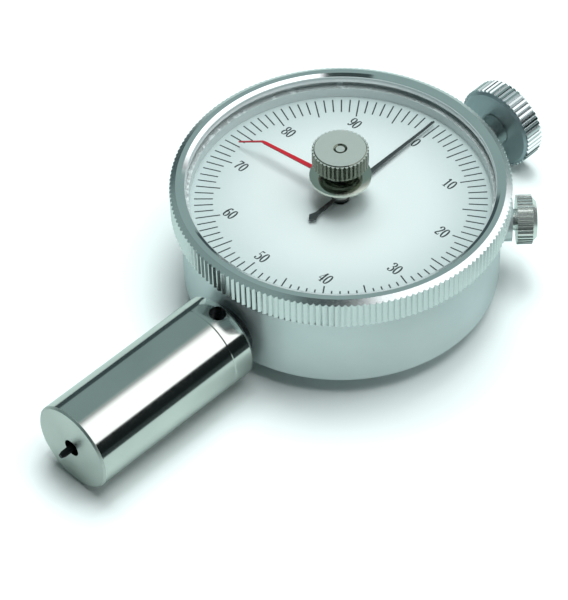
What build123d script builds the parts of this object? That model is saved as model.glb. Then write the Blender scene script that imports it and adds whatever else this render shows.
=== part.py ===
from build123d import *

import os
from math import atan2, cos, pi, radians, sin, sqrt, tan

# A dial durometer lying on its back. Millimetres. The origin is the centre of the rear
# cover's rest face, +Z points out of the dial and +Y along the stem, away from the foot.

# Fits
thread_gap = 0.03
running_gap = 0.05
seat_gap = 0.05
press_gap = 0.01
screw_clearance = 0.1
end_play = 0.1

# Foot, collar and stem
foot_radius = 8.03
foot_length = 30.5
foot_lift = 0.32
foot_wall = 3.0
foot_hole_radius = 1.55
foot_chamfer = 0.35
collar_length = 4.6
neck_length = 1.6
neck_radius = 5.2
neck_seat_depth = 0.1
stem_radius = 4.0
stem_thread = 10.0
stem_reach = 0.6
case_thread_radius = 3.6
set_screw_radius = 1.45
set_screw_length = 1.9
set_screw_setback = 2.55
set_screw_tilt = 10.0
set_screw_socket = 0.65

# Indenter, spindle and spring
travel = 2.5
pin_radius = 0.625
pin_tip_radius = 0.395
pin_half_angle = 17.5
pin_seat = 2.6
spindle_radius = 1.75
flange_radius = 3.6
flange_thickness = 1.5
spring_wire_radius = 0.35
spring_wire_sides = 6
spring_turns = 4.5
spring_clearance = 0.35
adjuster_length = 3.0
lower_bush_length = 12.0
bush_wall = 0.95
bush_relief = 0.15
rack_bar_height = 3.0
rack_bar_start = -14.0
rack_bar_end = 13.0
tail_radius = 1.5
tail_bush_wall = 0.65
tail_clearance = 1.0
guide_pin_radius = 0.6
guide_pin_y = -6.2

# Movement: 2.5 mm of travel turns the hand once
rack_teeth_per_travel = 3.2
rack_pinion_teeth = 16
wheel_teeth = 60
pinion_teeth = 12
wheel_module = 0.25
addendum = 0.8
dedendum = 1.2
tooth_root_share = 0.6
tooth_tip_share = 0.22
rack_run_out = 0.2
wheel_thickness = 0.9
wheel_rim = 1.1
wheel_hub_radius = 1.6
wheel_spoke = 1.0
wheel_spokes = 4
arbor_radius = 0.6
pivot_radius = 0.4
layer_gap = 0.2
bridge_gap = 0.5
bridge_thickness = 1.2
bridge_edge = 2.2
pillar_radius = 1.5
pillar_sites = ((-12.4, 11.6), (10.0, 9.0), (12.4, -11.6), (-10.0, -9.0))
small_screw_radius = 0.7
small_screw_bite = 2.5
small_head_radius = 1.2
small_head_height = 0.7
centre_bush_radius = 2.2
centre_bush_flange = 0.8
centre_bush_flange_height = 0.6
cock_gap = 0.25
cock_thickness = 0.85
cock_half_length = 9.3
cock_half_width = 2.2
cock_pillar_radius = 1.1
cock_pillar_x = 7.6
jewel_radius = 0.9
hairspring_turns = 4
hairspring_steps = 16
hairspring_pitch = 0.8
hairspring_strip = 0.16
hairspring_height = 0.5
collet_radius = 1.0
stud_radius = 0.5
stud_gap = 0.02

# Case
case_radius = 28.1
case_wall = 2.9
case_edge = 0.6
wall_thickness = 2.2
front_recess = 5.05
rim_wall = 1.1
cover_boss_height = 3.2
cover_boss_inset = 4.7
cover_rim_step = 0.5
cover_flange = 1.2
cover_floor = 1.3
cover_wall = 1.4
cover_edge = 0.5
cover_screw_inset = 2.8
cover_screw_angles = (8.0, 65.0, 188.0, 245.0)
cover_screw_radius = 0.95
cover_head_radius = 1.7
cover_head_height = 1.1
cover_head_recess = 0.5
cover_slot_width = 0.4
cover_slot_depth = 0.45
cover_screw_length = 7.0
cover_hole_spare = 0.5
cover_pocket_wall = 0.9
post_wall = 1.4

# Bezel, dial and crystal, with heights above the dial face
bezel_overhang = 1.6
bezel_flutes = 176
flute_depth = 0.3
flute_share = 0.75
bezel_drop = 0.8
bezel_seat = 0.5
crown_height = 4.65
crown_slope = 1.08
crown_width = 0.94
crown_angle = 30.0
lip_width = 0.7
lip_underside = 3.15
skirt_wall = 1.0
skirt_clearance = 0.65
snap_wire_radius = 0.36
snap_wire_gap = 0.12
snap_drop = 2.8
snap_opening = 24.0
dial_thickness = 0.5
dial_hole_radius = 1.5
distance_height = 1.9
distance_wall = 1.15
dome_rim_lift = 0.3
dome_inset = 0.1
crystal_top = 5.55
crystal_thickness = 0.8

# Reset knob and red hand, with heights above the dial face
bush_flange_radius = 5.4
bush_rim_height = 0.45
bush_dome_height = 1.0
bush_dome_bulge = 0.14
bush_nose_radius = 2.6
bush_nose_taper = 0.3
bush_tube_radius = 2.1
bush_nut_radius = 3.0
bush_nut_height = 0.3
bush_seat_depth = 0.04
knob_top = 12.0
knob_radius = 4.9
knob_band = 3.15
knob_waist_radius = 3.9
knob_waist = 1.4
knob_waist_bevel = 0.6
knob_flutes = 38
knob_flute_depth = 0.32
knob_flute_share = 0.62
knob_chamfer = 0.15
knob_countersink = 0.32
reset_stem_radius = 0.9
reset_stem_recess = 0.12
washer_radius = 2.3
washer_thickness = 0.3
washer_lip = 0.5
red_hub_radius = 1.6
red_hub_height = 0.4
red_angle = 185.1
red_reach_gap = 4.02
red_outer_length = 4.8
red_tip_offset = 0.79
red_bend_gap = 0.35
red_tip_height = 1.25
red_thickness = 0.25
red_root_width = 1.0
red_bend_width = 0.6
red_outer_width = 0.4
red_tip_width = 0.2
red_shoulder = 0.6

# Main hand, with heights above the dial face
hand_height = 0.75
hand_thickness = 0.25
hand_angle = 91.7
hand_reach_gap = 1.42
hand_root_width = 1.15
hand_tip_width = 0.28
hand_hub_radius = 1.7
hand_tail_length = 8.25
hand_tail_widest = 7.25
hand_tail_neck = 6.1
hand_tail_width = 0.8
hand_tail_flare = 1.65
boss_radius = 1.5
boss_height = 1.0
boss_shoulder = 0.55
boss_taper = 0.35

# Clamp screw beside the bezel
clamp_azimuth = 45.0
clamp_screw_radius = 0.95
clamp_screw_bite = 2.7
clamp_block_radius = 3.8
clamp_block_depth = 1.8
clamp_tab_width = 5.0
clamp_neck_radius = 1.9
clamp_neck_length = 0.8
clamp_head_radius = 4.37
clamp_head_length = 2.7
clamp_dome = 0.8
clamp_dome_radius = 3.2
clamp_flutes = 36
clamp_flute_depth = 0.3
clamp_flute_share = 0.6
clamp_head_relief = 0.2
clamp_root_depth = 1.0

# Upper stem and top knob
top_neck_radius = 3.2
top_neck_length = 12.9
top_thread_radius = 2.5
top_thread_length = 3.0
top_knob_radius = 8.0
top_knob_length = 4.5
top_knob_flutes = 50
top_knob_flute_depth = 0.4
top_knob_flute_share = 0.6
top_knob_chamfer = 0.4
upper_bush_length = 10.0
upper_bore_end = 0.5

# Heights, worked out from the rest face up
stem_z = foot_radius + foot_lift
spindle_half = rack_bar_height / 2
bridge_top_z = stem_z - spindle_half - bridge_gap
bridge_z = bridge_top_z - bridge_thickness
case_z = cover_boss_height
cover_seat_z = case_z + cover_flange
cock_z = stem_z + spindle_half + cock_gap
cock_top_z = cock_z + cock_thickness
wheel_z = cock_top_z + layer_gap
wheel_top_z = wheel_z + wheel_thickness
wall_z = wheel_top_z + 2 * layer_gap
wall_top_z = wall_z + wall_thickness
dial_z = wall_top_z + front_recess
bezel_z = dial_z - bezel_drop
rim_z = bezel_z - seat_gap
clamp_z = (wall_z + wall_top_z) / 2
knob_z = dial_z + knob_top - knob_band - knob_waist

# Places along the stem
case_inner = case_radius - case_wall
neck_seat_y = -sqrt(case_radius**2 - neck_radius**2) + neck_seat_depth
collar_top_y = -(case_radius + neck_length)
collar_y = collar_top_y - collar_length
foot_y = collar_y - foot_length
chamber_y = foot_y + foot_wall
stem_end_y = collar_y - stem_thread
adjuster_y = stem_end_y - adjuster_length
flange_y = chamber_y + 2 * seat_gap
flange_top_y = flange_y + flange_thickness
pin_tip_y = foot_y - travel
top_neck_y = case_radius + top_neck_length
tail_end_y = case_inner + upper_bush_length - travel - tail_clearance

# Radii that follow the case
cover_boss_radius = case_radius - cover_boss_inset
cover_screw_circle = cover_boss_radius - cover_screw_inset
bezel_radius = case_radius + bezel_overhang
bezel_bore = case_radius - bezel_seat
plate_radius = bezel_bore - thread_gap
distance_bore = plate_radius - distance_wall
lip_radius = bezel_bore - lip_width
dome_radius = lip_radius - dome_inset
hand_length = distance_bore - hand_reach_gap
red_tip_radius = distance_bore - red_reach_gap
red_bend_radius = red_tip_radius - red_outer_length

# Gears
rack_pitch = travel / rack_teeth_per_travel
rack_module = rack_pitch / pi
rack_pinion_radius = rack_module * rack_pinion_teeth / 2
rack_line_x = -(spindle_radius - addendum * rack_module)
drive_x = rack_line_x - rack_pinion_radius
wheel_radius = wheel_module * wheel_teeth / 2
centre_distance = wheel_module * (wheel_teeth + pinion_teeth) / 2
drive_y = sqrt(centre_distance**2 - drive_x**2)
drive_site = (drive_x, drive_y)
take_up_site = (-drive_x, -drive_y)
mesh_angle = atan2(-drive_y, -drive_x)


def polar(radius, angle):
    """A point at a radius and an angle in radians."""
    return (radius * cos(angle), radius * sin(angle))


def dome_height(radius):
    """Height of the crystal's outer face above the dial face at a radius."""
    rise = crystal_top - dome_rim_height
    sphere = (dome_radius**2 + rise**2) / (2 * rise)
    return crystal_top - sphere + sqrt(sphere**2 - radius**2)


# Heights that follow the crystal, above the dial face
dome_rim_height = lip_underside + dome_rim_lift
crystal_seat_radius = bush_flange_radius + 2 * seat_gap
crystal_seat = dome_height(crystal_seat_radius) - bush_seat_depth
nut_top = dome_height(bush_nut_radius) - crystal_thickness - seat_gap
red_hub_z = nut_top - bush_nut_height - end_play - red_hub_height
red_bend_height = dome_height(red_bend_radius) - crystal_thickness - red_bend_gap

# Axes and planes
stem_axis = Axis((0, 0, stem_z), (0, 1, 0))
stem_plane = Plane.XY.offset(stem_z)
clamp_turn = radians(clamp_azimuth)
clamp_direction = (*polar(1, clamp_turn), 0)
clamp_axis = Axis((0, 0, clamp_z), clamp_direction)
clamp_plane = Plane((0, 0, clamp_z), x_dir=(*polar(1, clamp_turn - pi / 2), 0), z_dir=(0, 0, 1))
clamp_face = Plane((0, 0, clamp_z), x_dir=(*polar(1, clamp_turn + pi / 2), 0), z_dir=clamp_direction)
set_screw_plane = Plane(
    (0, collar_y + set_screw_setback, stem_z),
    x_dir=(0, 1, 0),
    z_dir=(sin(radians(set_screw_tilt)), 0, cos(radians(set_screw_tilt))),
)
os.makedirs("parts", exist_ok=True)


def save(piece, name):
    """Label a finished piece and write it to its own file."""
    piece.part.label = name
    export_step(piece.part, f"parts/{name}.step")


def upright(site):
    """The plane in which a piece turned about a vertical axis at site is drawn."""
    return Plane(origin=(site[0], site[1], 0), x_dir=(1, 0, 0), z_dir=(0, -1, 0))


def turned(plane, axis, outline):
    """A piece turned from an outline of (radius, place along the axis) points."""
    with BuildPart() as piece:
        with BuildSketch(plane):
            with BuildLine():
                Polyline(*outline, close=True)
            make_face()
        revolve(axis=axis)
    return piece


def turned_upright(site, outline):
    """A piece turned about the vertical axis at site."""
    return turned(upright(site), Axis((site[0], site[1], 0), (0, 0, 1)), outline)


def turned_along_stem(outline):
    """A piece turned about the axis of the foot and stem."""
    return turned(stem_plane, stem_axis, outline)


def knurl_points(radius, depth, count, share):
    """Outline of a straight knurl: flat crests with V grooves between them."""
    step = 2 * pi / count
    half = share * step / 2
    points = []
    for i in range(count):
        middle = i * step
        points.append(polar(radius, middle - half))
        points.append(polar(radius - depth, middle))
        points.append(polar(radius, middle + half))
    return points


def gear_points(teeth, module, tooth_angle):
    """Outline of a small wheel with one tooth at tooth_angle."""
    pitch_radius = module * teeth / 2
    root = pitch_radius - dedendum * module
    tip = pitch_radius + addendum * module
    step = 2 * pi / teeth
    root_half = tooth_root_share * step / 2
    tip_half = tooth_tip_share * step / 2
    points = []
    for i in range(teeth):
        middle = tooth_angle + i * step
        points.append(polar(root, middle - root_half))
        points.append(polar(tip, middle - tip_half))
        points.append(polar(tip, middle + tip_half))
        points.append(polar(root, middle + root_half))
    return points


def make_case():
    """Turned ring with one inner wall, posts for the cover screws and the stem holes."""
    front_bore = case_radius - rim_wall
    groove_z = dial_z - snap_drop
    groove_half = snap_wire_radius + running_gap
    groove_depth = snap_wire_radius + 2 * running_gap
    cover_recess = case_inner + cover_rim_step
    with BuildPart() as case:
        with BuildSketch(Plane.XZ):
            with BuildLine():
                Polyline(
                    (0, wall_z),
                    (case_inner, wall_z),
                    (case_inner, cover_seat_z),
                    (cover_recess, cover_seat_z),
                    (cover_recess, case_z),
                    (case_radius - case_edge, case_z),
                    (case_radius, case_z + case_edge),
                    (case_radius, rim_z),
                    (front_bore, rim_z),
                    (front_bore, groove_z + groove_half),
                    (front_bore + groove_depth, groove_z + groove_half),
                    (front_bore + groove_depth, groove_z - groove_half),
                    (front_bore, groove_z - groove_half),
                    (front_bore, wall_top_z),
                    (0, wall_top_z),
                    close=True,
                )
            make_face()
        revolve(axis=Axis.Z)
        posts = [polar(cover_screw_circle, radians(a)) for a in cover_screw_angles]
        with BuildSketch(Plane.XY.offset(cover_seat_z)):
            with Locations(*posts):
                Circle(cover_screw_radius + post_wall)
        extrude(amount=wall_z - cover_seat_z)
        with Locations(*[(x, y, cover_seat_z) for x, y in posts]):
            Cylinder(
                cover_screw_radius + thread_gap,
                cover_screw_length,
                align=(Align.CENTER, Align.CENTER, Align.MIN),
                mode=Mode.SUBTRACT,
            )
        with BuildSketch(Plane.XY.offset(wall_z)):
            Circle(centre_bush_radius + thread_gap)
            with Locations(drive_site, take_up_site):
                Circle(jewel_radius + thread_gap)
        extrude(amount=wall_thickness, mode=Mode.SUBTRACT)
        with BuildSketch(Plane.XZ.offset(case_inner - case_wall / 2)):
            with Locations((0, stem_z)):
                Circle(case_thread_radius + thread_gap)
        extrude(amount=2 * case_wall, mode=Mode.SUBTRACT)
        with BuildSketch(Plane.XZ.offset(-neck_seat_y)):
            with Locations((0, stem_z)):
                Circle(neck_radius + thread_gap)
        extrude(amount=case_wall, mode=Mode.SUBTRACT)
        with BuildSketch(Plane.XZ.offset(-(case_inner - case_wall / 2))):
            with Locations((0, stem_z)):
                Circle(top_neck_radius + thread_gap)
        extrude(amount=-2 * case_wall, mode=Mode.SUBTRACT)
        with BuildSketch(clamp_face.offset(case_radius - clamp_screw_bite - 2 * end_play)):
            Circle(clamp_screw_radius + thread_gap)
        extrude(amount=2 * clamp_screw_bite, mode=Mode.SUBTRACT)
    save(case, "case_body")


def make_rear_cover():
    """Shallow dished lid with screw pockets, and the screws that hold it."""
    rim = case_inner + cover_rim_step - thread_gap
    inside = cover_boss_radius - cover_wall
    posts = [polar(cover_screw_circle, radians(a)) for a in cover_screw_angles]
    head_floor = cover_head_height + cover_head_recess
    with BuildPart() as cover:
        with BuildSketch(Plane.XZ):
            with BuildLine():
                Polyline(
                    (0, 0),
                    (cover_boss_radius - cover_edge, 0),
                    (cover_boss_radius, cover_edge),
                    (cover_boss_radius, case_z),
                    (rim, case_z),
                    (rim, cover_seat_z),
                    (inside, cover_seat_z),
                    (inside, cover_floor),
                    (0, cover_floor),
                    close=True,
                )
            make_face()
        revolve(axis=Axis.Z)
        with BuildSketch(Plane.XY):
            with Locations(*posts):
                Circle(cover_head_radius + cover_pocket_wall)
        extrude(amount=cover_seat_z)
        with Locations(*[(x, y, 0) for x, y in posts]):
            Cylinder(
                cover_head_radius + screw_clearance,
                head_floor,
                align=(Align.CENTER, Align.CENTER, Align.MIN),
                mode=Mode.SUBTRACT,
            )
            Cylinder(
                cover_screw_radius + screw_clearance,
                cover_seat_z,
                align=(Align.CENTER, Align.CENTER, Align.MIN),
                mode=Mode.SUBTRACT,
            )
    save(cover, "rear_cover")

    with BuildPart() as screws:
        with BuildSketch(Plane.XY.offset(head_floor - cover_head_height)):
            with Locations(*posts):
                Circle(cover_head_radius)
        extrude(amount=cover_head_height)
        with BuildSketch(Plane.XY.offset(head_floor)):
            with Locations(*posts):
                Circle(cover_screw_radius)
        extrude(amount=cover_seat_z - head_floor + cover_screw_length - cover_hole_spare)
        with BuildSketch(Plane.XY.offset(head_floor - cover_head_height)):
            with Locations(*posts):
                Rectangle(3 * cover_head_radius, cover_slot_width, rotation=45)
        extrude(amount=cover_slot_depth, mode=Mode.SUBTRACT)
    save(screws, "rear_cover_screws")


def make_bezel():
    """Ring with a flat crown and a coin edge, and the carrier that closes it from behind."""
    z = dial_z
    blank_radius = bezel_radius + running_gap
    crown_outer = bezel_radius - crown_slope
    crown_inner = crown_outer - crown_width
    fall = tan(radians(crown_angle))
    crown_z = z + crown_height
    with BuildPart() as bezel:
        with BuildSketch(Plane.XZ):
            with BuildLine():
                Polyline(
                    (bezel_bore, bezel_z),
                    (blank_radius, bezel_z),
                    (blank_radius, crown_z - (blank_radius - crown_outer) * fall),
                    (crown_outer, crown_z),
                    (crown_inner, crown_z),
                    (lip_radius, crown_z - (crown_inner - lip_radius) * fall),
                    (lip_radius, z + lip_underside),
                    (bezel_bore, z + lip_underside),
                    close=True,
                )
            make_face()
        revolve(axis=Axis.Z)
        with BuildSketch(Plane.XY.offset(bezel_z)):
            with BuildLine():
                Polyline(
                    *knurl_points(bezel_radius, flute_depth, bezel_flutes, flute_share),
                    close=True,
                )
            make_face()
        extrude(amount=bezel_drop + crown_height, mode=Mode.INTERSECT)
    save(bezel, "bezel_ring")

    skirt_radius = case_radius - rim_wall - 2 * running_gap
    carrier_bore = skirt_radius - skirt_wall
    flange_z = z - dial_thickness
    groove_z = z - snap_drop
    groove_half = snap_wire_radius + running_gap
    groove_radius = case_radius - rim_wall - snap_wire_radius - snap_wire_gap
    foot_of_skirt = wall_top_z + skirt_clearance
    carrier = turned_upright(
        (0, 0),
        (
            (carrier_bore, flange_z),
            (plate_radius, flange_z),
            (plate_radius, bezel_z),
            (skirt_radius, bezel_z),
            (skirt_radius, groove_z + groove_half),
            (groove_radius, groove_z + groove_half),
            (groove_radius, groove_z - groove_half),
            (skirt_radius, groove_z - groove_half),
            (skirt_radius, foot_of_skirt),
            (carrier_bore, foot_of_skirt),
        ),
    )
    save(carrier, "bezel_carrier")

    turn = radians(snap_opening / 2)
    start = Plane(
        (*polar(case_radius - rim_wall, turn), groove_z),
        x_dir=(*polar(1, turn), 0),
        z_dir=(*polar(1, turn + pi / 2), 0),
    )
    with BuildPart() as snap:
        with BuildSketch(start):
            RegularPolygon(snap_wire_radius, 6)
        revolve(axis=Axis.Z, revolution_arc=360 - snap_opening)
    save(snap, "bezel_snap_ring")


def make_dial():
    """Dial plate, distance ring and domed crystal, stacked between carrier and lip."""
    z = dial_z
    with BuildPart() as dial:
        with BuildSketch(Plane.XY.offset(z - dial_thickness)):
            Circle(plate_radius)
            Circle(dial_hole_radius, mode=Mode.SUBTRACT)
        extrude(amount=dial_thickness)
    save(dial, "dial_plate")

    ring = turned_upright(
        (0, 0),
        (
            (distance_bore, z),
            (plate_radius, z),
            (plate_radius, z + distance_height),
            (distance_bore, z + distance_height),
        ),
    )
    save(ring, "distance_ring")

    rim_top = z + lip_underside
    seat_z = z + crystal_seat
    hole = bush_tube_radius + running_gap
    inner_rim = dome_radius - crystal_thickness
    with BuildPart() as crystal:
        with BuildSketch(Plane.XZ):
            with BuildLine():
                inner = ThreePointArc(
                    (hole, z + dome_height(hole) - crystal_thickness),
                    (inner_rim / 2, z + dome_height(inner_rim / 2) - crystal_thickness),
                    (inner_rim, z + dome_height(inner_rim) - crystal_thickness),
                )
                rim = Polyline(
                    inner @ 1,
                    (inner_rim, z + distance_height),
                    (plate_radius, z + distance_height),
                    (plate_radius, rim_top),
                    (dome_radius, rim_top),
                    (dome_radius, z + dome_rim_height),
                )
                outer = ThreePointArc(
                    rim @ 1,
                    (dome_radius / 2, z + dome_height(dome_radius / 2)),
                    (crystal_seat_radius, z + dome_height(crystal_seat_radius)),
                )
                Polyline(outer @ 1, (crystal_seat_radius, seat_z), (hole, seat_z), inner @ 0)
            make_face()
        revolve(axis=Axis.Z)
    save(crystal, "crystal")


def make_reset():
    """Flange bush in the crystal, reset knob on its stem, and the red hand under it."""
    z = dial_z
    seat_z = z + crystal_seat
    rim_z_top = seat_z + bush_rim_height
    dome_z = seat_z + bush_dome_height
    nose_z = knob_z - washer_thickness - seat_gap
    tube_z = z + nut_top - bush_nut_height
    bore = reset_stem_radius + running_gap
    with BuildPart() as bush:
        with BuildSketch(Plane.XZ):
            with BuildLine():
                under = Polyline(
                    (bore, nose_z),
                    (bore, tube_z),
                    (bush_tube_radius, tube_z),
                    (bush_tube_radius, seat_z),
                    (bush_flange_radius, seat_z),
                    (bush_flange_radius, rim_z_top),
                )
                dome = ThreePointArc(
                    under @ 1,
                    (
                        (bush_flange_radius + bush_nose_radius) / 2,
                        (rim_z_top + dome_z) / 2 + bush_dome_bulge,
                    ),
                    (bush_nose_radius, dome_z),
                )
                Polyline(dome @ 1, (bush_nose_radius - bush_nose_taper, nose_z), under @ 0)
            make_face()
        revolve(axis=Axis.Z)
    save(bush, "crystal_bush")

    with BuildPart() as nut:
        with BuildSketch(Plane.XY.offset(tube_z)):
            RegularPolygon(bush_nut_radius, 8)
            Circle(bush_tube_radius + thread_gap, mode=Mode.SUBTRACT)
        extrude(amount=bush_nut_height)
    save(nut, "crystal_bush_nut")

    washer = turned_upright(
        (0, 0),
        (
            (bore, nose_z + seat_gap / 2),
            (washer_radius, nose_z + seat_gap / 2),
            (washer_radius, nose_z + (seat_gap + washer_thickness) / 2),
            (bore + washer_lip, knob_z - seat_gap / 2),
            (bore, knob_z - seat_gap / 2),
        ),
    )
    save(washer, "friction_washer")

    band_z = z + knob_top - knob_band
    band_root = knob_radius - knob_flute_depth
    with BuildPart() as knob:
        with BuildSketch(Plane.XY.offset(band_z)):
            with BuildLine():
                Polyline(
                    *knurl_points(knob_radius, knob_flute_depth, knob_flutes, knob_flute_share),
                    close=True,
                )
            make_face()
            Circle(knob_waist_radius, mode=Mode.SUBTRACT)
        extrude(amount=knob_band - knob_chamfer)
        with BuildSketch(Plane.XZ):
            with BuildLine():
                Polyline(
                    (reset_stem_radius, knob_z),
                    (knob_waist_radius - knob_waist_bevel, knob_z),
                    (knob_waist_radius, knob_z + knob_waist_bevel),
                    (knob_waist_radius, band_z + knob_chamfer),
                    (band_root, band_z + knob_chamfer),
                    (band_root, z + knob_top - knob_chamfer),
                    (band_root - knob_chamfer, z + knob_top),
                    (reset_stem_radius + knob_countersink, z + knob_top),
                    (reset_stem_radius, z + knob_top - knob_countersink),
                    close=True,
                )
            make_face()
        revolve(axis=Axis.Z)
    save(knob, "reset_knob")

    hub_z = z + red_hub_z
    hub_top = hub_z + red_hub_height
    stem = turned_upright(
        (0, 0),
        (
            (0, hub_z),
            (reset_stem_radius, hub_z),
            (reset_stem_radius, z + knob_top - knob_countersink),
            (reset_stem_radius - reset_stem_recess, z + knob_top - reset_stem_recess),
            (0, z + knob_top - reset_stem_recess),
        ),
    )
    save(stem, "reset_stem")

    hub = turned_upright(
        (0, 0),
        (
            (reset_stem_radius, hub_z),
            (red_hub_radius, hub_z),
            (red_hub_radius, hub_top),
            (reset_stem_radius, hub_top),
        ),
    )
    save(hub, "red_hand_hub")

    turn = radians(red_angle)
    forward = (*polar(1, turn), 0)
    along = Plane((0, 0, z), x_dir=forward, z_dir=(*polar(1, turn - pi / 2), 0))
    plan = Plane((0, 0, z), x_dir=forward, z_dir=(0, 0, 1))
    root_height = red_hub_z + red_hub_height / 2
    half = red_thickness / 2
    shoulder = red_bend_radius - red_shoulder
    with BuildPart() as red:
        with BuildSketch(along):
            with BuildLine():
                Polyline(
                    (red_hub_radius, root_height - half),
                    (red_bend_radius, red_bend_height - half),
                    (red_tip_radius, red_tip_height - half),
                    (red_tip_radius, red_tip_height + half),
                    (red_bend_radius, red_bend_height + half),
                    (red_hub_radius, root_height + half),
                    close=True,
                )
            make_face()
        extrude(amount=red_root_width + red_tip_offset, both=True)
        with BuildSketch(plan):
            with BuildLine():
                Polyline(
                    (red_hub_radius, red_root_width / 2),
                    (shoulder, red_bend_width / 2),
                    (red_bend_radius, red_outer_width / 2),
                    (red_tip_radius, red_tip_offset + red_tip_width / 2),
                    (red_tip_radius, red_tip_offset - red_tip_width / 2),
                    (red_bend_radius, -red_outer_width / 2),
                    (shoulder, -red_bend_width / 2),
                    (red_hub_radius, -red_root_width / 2),
                    close=True,
                )
            make_face()
        extrude(amount=crystal_top, mode=Mode.INTERSECT)
    save(red, "red_hand")


def make_main_hand():
    """Black hand with its round centre and flared tail, and its nickel boss."""
    forward = (*polar(1, radians(hand_angle)), 0)
    plane = Plane((0, 0, dial_z + hand_height), x_dir=forward, z_dir=(0, 0, 1))
    with BuildPart() as hand:
        with BuildSketch(plane):
            with BuildLine():
                Polyline(
                    (0, hand_root_width / 2),
                    (hand_length, hand_tip_width / 2),
                    (hand_length, -hand_tip_width / 2),
                    (0, -hand_root_width / 2),
                    close=True,
                )
            make_face()
            with BuildLine():
                Polyline(
                    (0, hand_tail_width / 2),
                    (-hand_tail_neck, hand_tail_width / 2),
                    (-hand_tail_widest, hand_tail_flare / 2),
                    (-hand_tail_length, 0),
                    (-hand_tail_widest, -hand_tail_flare / 2),
                    (-hand_tail_neck, -hand_tail_width / 2),
                    (0, -hand_tail_width / 2),
                    close=True,
                )
            make_face()
            Circle(hand_hub_radius)
            Circle(arbor_radius, mode=Mode.SUBTRACT)
        extrude(amount=hand_thickness)
    save(hand, "main_hand")

    foot_of_boss = dial_z + hand_height + hand_thickness
    boss = turned_upright(
        (0, 0),
        (
            (arbor_radius, foot_of_boss),
            (boss_radius, foot_of_boss),
            (boss_radius, foot_of_boss + boss_shoulder),
            (boss_radius - boss_taper, foot_of_boss + boss_height),
            (arbor_radius, foot_of_boss + boss_height),
        ),
    )
    save(boss, "main_hand_boss")


def make_foot():
    """Barrel with the flat pressing face, collar and set screw."""
    r = foot_radius
    c = foot_chamfer
    bore = stem_radius + thread_gap
    foot = turned_along_stem(
        (
            (foot_hole_radius, foot_y),
            (r - c, foot_y),
            (r, foot_y + c),
            (r, collar_y - c / 3),
            (r - c / 3, collar_y),
            (bore, collar_y),
            (bore, chamber_y),
            (foot_hole_radius, chamber_y),
        )
    )
    save(foot, "presser_foot")

    with BuildPart() as collar:
        with BuildSketch(stem_plane):
            with BuildLine():
                Polyline(
                    (bore, collar_y),
                    (r - c / 3, collar_y),
                    (r, collar_y + c / 3),
                    (r, collar_top_y - 2 * c),
                    (r - 2 * c, collar_top_y),
                    (bore, collar_top_y),
                    close=True,
                )
            make_face()
        revolve(axis=stem_axis)
        with BuildSketch(set_screw_plane):
            Circle(set_screw_radius + thread_gap)
        extrude(amount=r, mode=Mode.SUBTRACT)
    save(collar, "stem_collar")

    with BuildPart() as screw:
        with BuildSketch(set_screw_plane.offset(bore)):
            Circle(set_screw_radius)
        extrude(amount=set_screw_length)
        with BuildSketch(set_screw_plane.offset(bore + set_screw_length)):
            RegularPolygon(set_screw_socket, 6)
        extrude(amount=-set_screw_length / 2, mode=Mode.SUBTRACT)
    save(screw, "collar_set_screw")


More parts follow.
